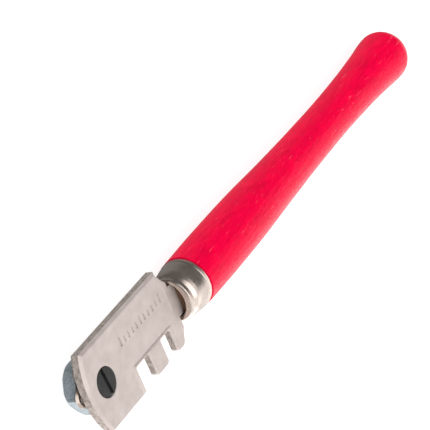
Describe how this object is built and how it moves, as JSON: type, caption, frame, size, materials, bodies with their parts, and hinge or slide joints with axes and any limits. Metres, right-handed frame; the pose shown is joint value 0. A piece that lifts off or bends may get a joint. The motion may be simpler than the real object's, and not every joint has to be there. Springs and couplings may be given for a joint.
{
  "type": "glass cutter",
  "caption": "Hand glass cutter: turned red wooden handle, nickel ferrule, plated head with breaker teeth, and a rotating turret of small cutting wheels held by a slotted screw.",
  "frame": {"origin": "under the middle of the tool's box, on the surface that the handle lies on", "axes": "+X along the handle towards the cutting tip, +Y across the head towards the breaker teeth, +Z out of the head's front face"},
  "size_m": [0.127, 0.015, 0.0107],
  "materials": {
    "red_paint": "gloss red lacquer over close-grained turned wood",
    "nickel_sheet": "bright nickel-plated sheet",
    "plated_casting": "dull nickel-plated casting",
    "blacked_steel": "chemically blackened steel",
    "spring_steel": "hardened spring steel",
    "pin_steel": "drawn steel",
    "zinc_plate": "blue-passivated zinc plate",
    "wheel_steel": "ground hardened steel"
  },
  "bodies": {
    "tool": {"handle": "red_paint", "ferrule": "nickel_sheet", "head_casting": "plated_casting", "spring_washer": "spring_steel", "hub_bush": "pin_steel"},
    "screw": {"turret_screw": "blacked_steel"},
    "turret": {"turret_plate": "zinc_plate", "wheel_pin_1": "pin_steel", "wheel_pin_2": "pin_steel", "wheel_pin_3": "pin_steel", "wheel_pin_4": "pin_steel", "wheel_pin_5": "pin_steel", "wheel_pin_6": "pin_steel"},
    "wheel_1": {"cutting_wheel_1": "wheel_steel"},
    "wheel_2": {"cutting_wheel_2": "wheel_steel"},
    "wheel_3": {"cutting_wheel_3": "wheel_steel"},
    "wheel_4": {"cutting_wheel_4": "wheel_steel"},
    "wheel_5": {"cutting_wheel_5": "wheel_steel"},
    "wheel_6": {"cutting_wheel_6": "wheel_steel"}
  },
  "joints": [
    {"name": "turret_index", "type": "hinge", "parent": "tool", "child": "turret", "pos_m": [0.05765, -0.00013, 0.00226], "axis": [0, 0, 1], "continuous": true},
    {"name": "screw_turn", "type": "hinge", "parent": "tool", "child": "screw", "pos_m": [0.05765, -0.00013, 0.00536], "axis": [0, 0, 1], "range_deg": [0, 360]},
    {"name": "wheel_1_spin", "type": "hinge", "parent": "turret", "child": "wheel_1", "pos_m": [0.06165, 0.00002, 0.00391], "axis": [0, 0, 1], "continuous": true},
    {"name": "wheel_2_spin", "type": "hinge", "parent": "turret", "child": "wheel_2", "pos_m": [0.05953, 0.00341, 0.00391], "axis": [0, 0, 1], "continuous": true},
    {"name": "wheel_3_spin", "type": "hinge", "parent": "turret", "child": "wheel_3", "pos_m": [0.05553, 0.00327, 0.00391], "axis": [0, 0, 1], "continuous": true},
    {"name": "wheel_4_spin", "type": "hinge", "parent": "turret", "child": "wheel_4", "pos_m": [0.05365, -0.00026, 0.00391], "axis": [0, 0, 1], "continuous": true},
    {"name": "wheel_5_spin", "type": "hinge", "parent": "turret", "child": "wheel_5", "pos_m": [0.05577, -0.00366, 0.00391], "axis": [0, 0, 1], "continuous": true},
    {"name": "wheel_6_spin", "type": "hinge", "parent": "turret", "child": "wheel_6", "pos_m": [0.05977, -0.00352, 0.00391], "axis": [0, 0, 1], "continuous": true}
  ]
}
